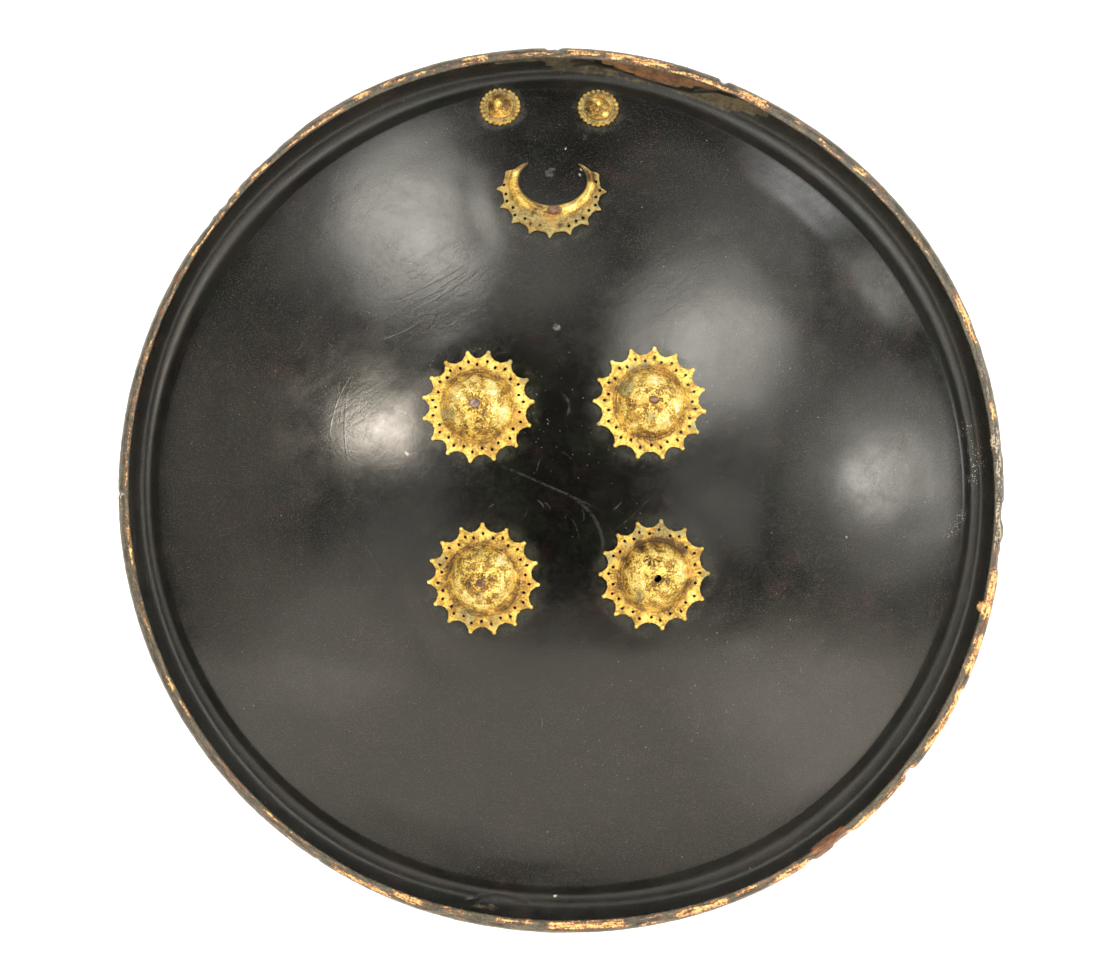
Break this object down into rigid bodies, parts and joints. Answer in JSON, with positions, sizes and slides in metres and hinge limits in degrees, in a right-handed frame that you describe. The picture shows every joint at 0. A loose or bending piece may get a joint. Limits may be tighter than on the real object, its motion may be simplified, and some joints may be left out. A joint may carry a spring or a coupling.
{
  "type": "hide shield",
  "caption": "Round domed hide shield with a turned-up edge, pierced gilt brass bosses, small bosses and a crescent on its face.",
  "frame": {"origin": "on the plane that the edge rests on, at the shield's axis, centre of the outline", "axes": "+Z out of the shield's face, +Y towards the edge with the crescent and the small bosses, +X to the right seen from the front"},
  "size_m": [0.56, 0.5591, 0.0797],
  "materials": {
    "lacquered_hide": "worn black lacquer, satin",
    "gilt_brass": "worn gilding",
    "iron_pin": "brown, worn",
    "copper_pin": "copper-coloured, worn"
  },
  "bodies": {
    "root": {"hide_shell": "lacquered_hide", "boss_upper_left": "gilt_brass", "boss_upper_right": "gilt_brass", "boss_lower_left": "gilt_brass", "boss_lower_right": "gilt_brass", "boss_pin_upper_left": "iron_pin", "boss_pin_upper_right": "copper_pin", "boss_pin_lower_left": "copper_pin", "small_boss_left": "gilt_brass", "small_boss_right": "gilt_brass", "crescent": "gilt_brass", "crescent_rivet": "copper_pin"}
  },
  "joints": []
}
